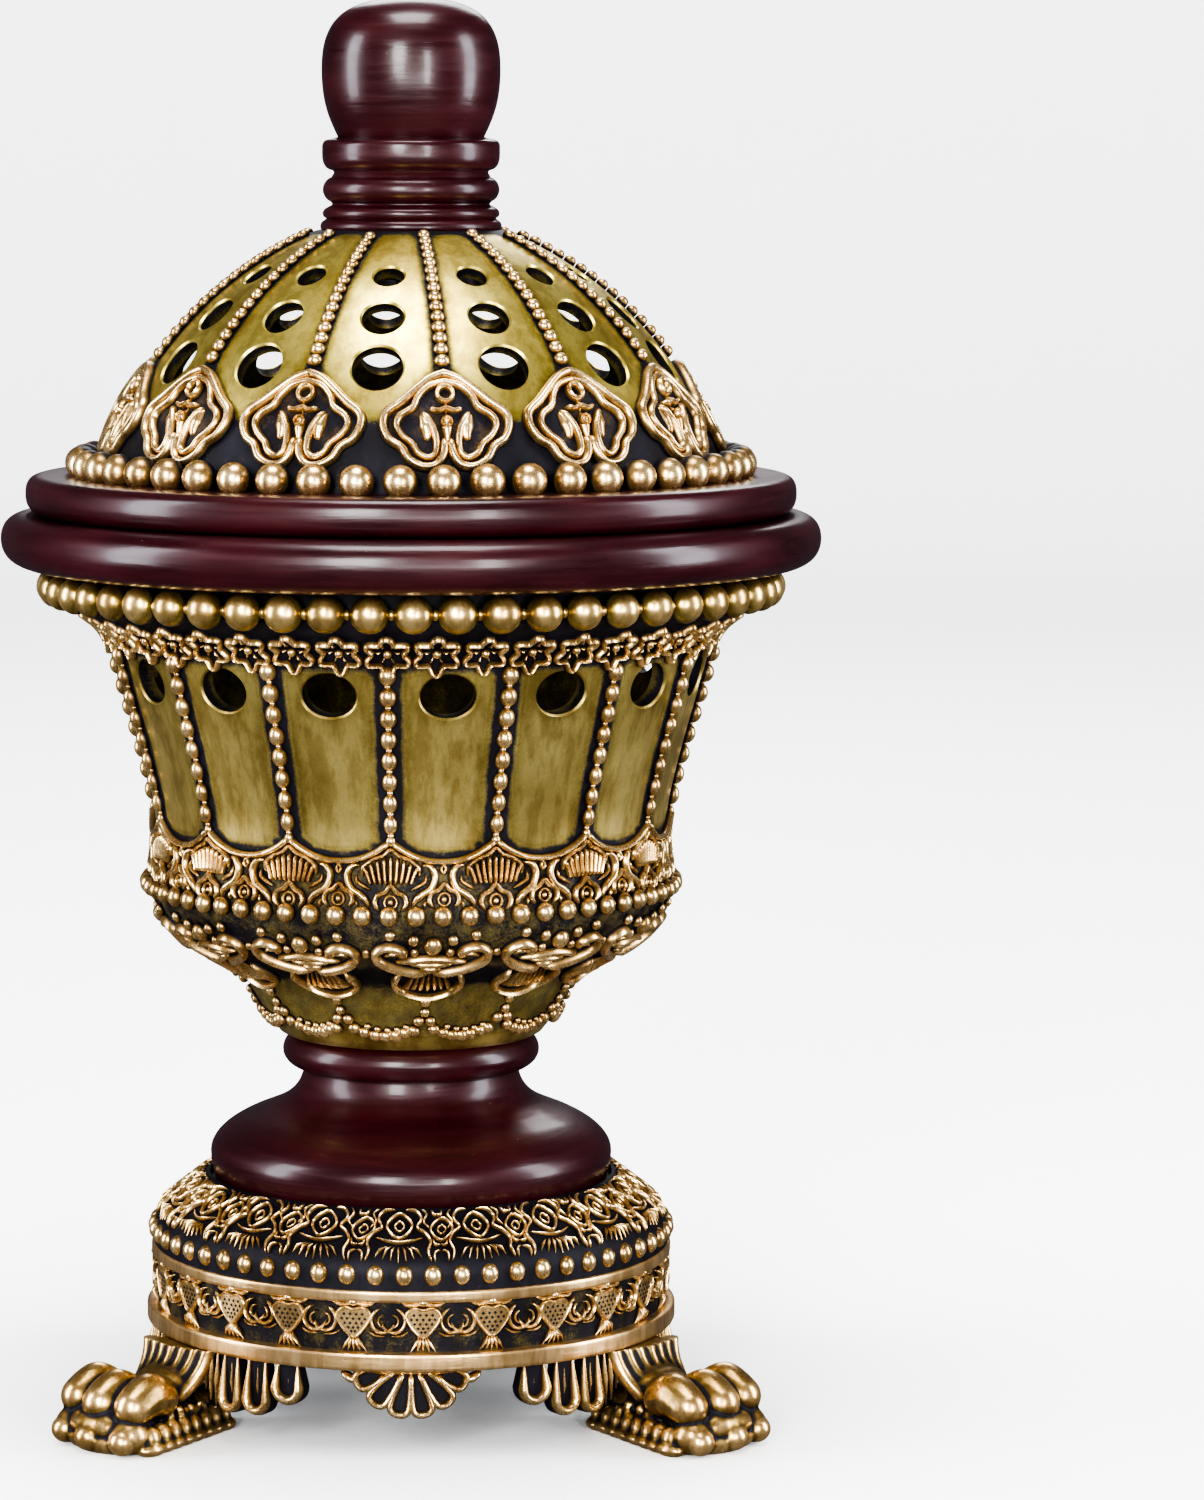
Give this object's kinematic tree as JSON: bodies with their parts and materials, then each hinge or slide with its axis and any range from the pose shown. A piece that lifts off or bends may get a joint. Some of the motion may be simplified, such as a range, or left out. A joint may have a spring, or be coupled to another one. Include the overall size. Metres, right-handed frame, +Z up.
{
  "type": "incense burner",
  "caption": "Footed incense burner with a pierced bowl, a loose perforated ember pan in a liner cup and a pierced dome lid that lifts off by a turned knob.",
  "frame": {"origin": "on the floor under the burner's axis", "axes": "+Z up along the axis, front towards -Y, +X to the right seen from the front"},
  "size_m": [0.139, 0.139, 0.24],
  "materials": {
    "dark_wood": "satin dark mahogany lacquer on turned wood",
    "panel_gold": "antique olive gold with dark patina in the recesses",
    "relief_gold": "rubbed copper gold relief over near-black patina",
    "band_gold": "brushed coppery gold",
    "polished_brass": "polished",
    "liner_metal": "spun satin",
    "hardware": "zinc plated"
  },
  "bodies": {
    "stand": {"foot_front_left": "relief_gold", "foot_front_right": "relief_gold", "foot_rear": "relief_gold", "foot_screws": "hardware", "base_drum": "panel_gold", "lower_band": "band_gold", "upper_band": "band_gold", "drum_motifs": "relief_gold", "apron_shells": "relief_gold", "base_skirt": "panel_gold", "skirt_beads": "relief_gold", "pedestal": "dark_wood", "tie_rod": "hardware", "tie_rod_nuts": "hardware", "tie_rod_washers": "hardware", "bowl_shell": "panel_gold", "garland_swags": "relief_gold", "shell_fans": "relief_gold", "lower_beads": "relief_gold", "palmette_collar": "relief_gold", "bowl_ribs": "relief_gold", "flower_frieze": "relief_gold", "rim_beads": "relief_gold", "rim_ring": "dark_wood", "liner_cup": "liner_metal"},
    "pan": {"ember_pan": "polished_brass"},
    "lid": {"lid_lip": "liner_metal", "lid_flange": "dark_wood", "lid_beads": "relief_gold", "dome_shell": "panel_gold", "dome_ribs": "relief_gold", "medallions": "relief_gold", "knob": "dark_wood", "knob_stud": "hardware", "knob_nut": "hardware", "knob_washer": "hardware"}
  },
  "joints": [
    {"name": "lid_lift", "type": "slide", "parent": "stand", "child": "lid", "axis": [0, 0, 1], "range_m": [0, 0.1]},
    {"name": "pan_lift", "type": "slide", "parent": "stand", "child": "pan", "axis": [0, 0, 1], "range_m": [0, 0.062]}
  ]
}
